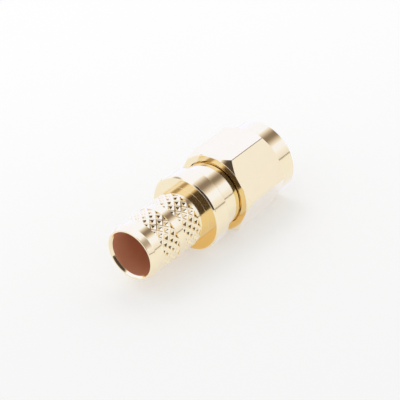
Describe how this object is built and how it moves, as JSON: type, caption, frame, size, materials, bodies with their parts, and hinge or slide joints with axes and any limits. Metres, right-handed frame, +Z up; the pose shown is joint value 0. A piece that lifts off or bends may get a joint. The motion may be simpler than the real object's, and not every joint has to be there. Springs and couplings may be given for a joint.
{
  "type": "coaxial plug",
  "caption": "Coaxial SMA plug for crimped cable: knurled crimp stem, round flange, neck, and a hex coupling nut that turns freely round the pin contact.",
  "frame": {"origin": "on the axis, at the front edge of the outer contact sleeve, which is the reference plane of the interface", "axes": "+X along the axis towards the mating end, +Z up out of one flat of the coupling nut, +Y across"},
  "size_m": [0.0206, 0.0092, 0.008],
  "materials": {
    "gold_body": "turned brass with bright gold plating",
    "gold_nut": "turned brass with bright gold plating",
    "gold_contact": "bright gold plating",
    "spring_bronze": "satin spring bronze",
    "silicone": "matte",
    "ptfe": "waxy white"
  },
  "bodies": {
    "plug": {"connector_body": "gold_body", "retaining_ring": "spring_bronze", "sealing_gasket": "silicone", "front_insulator": "ptfe", "rear_insulator": "ptfe", "centre_contact": "gold_contact"},
    "nut": {"coupling_nut": "gold_nut"}
  },
  "joints": [
    {"name": "nut_turn", "type": "hinge", "parent": "plug", "child": "nut", "pos_m": [-0.004, 0, 0], "axis": [1, 0, 0], "continuous": true}
  ]
}
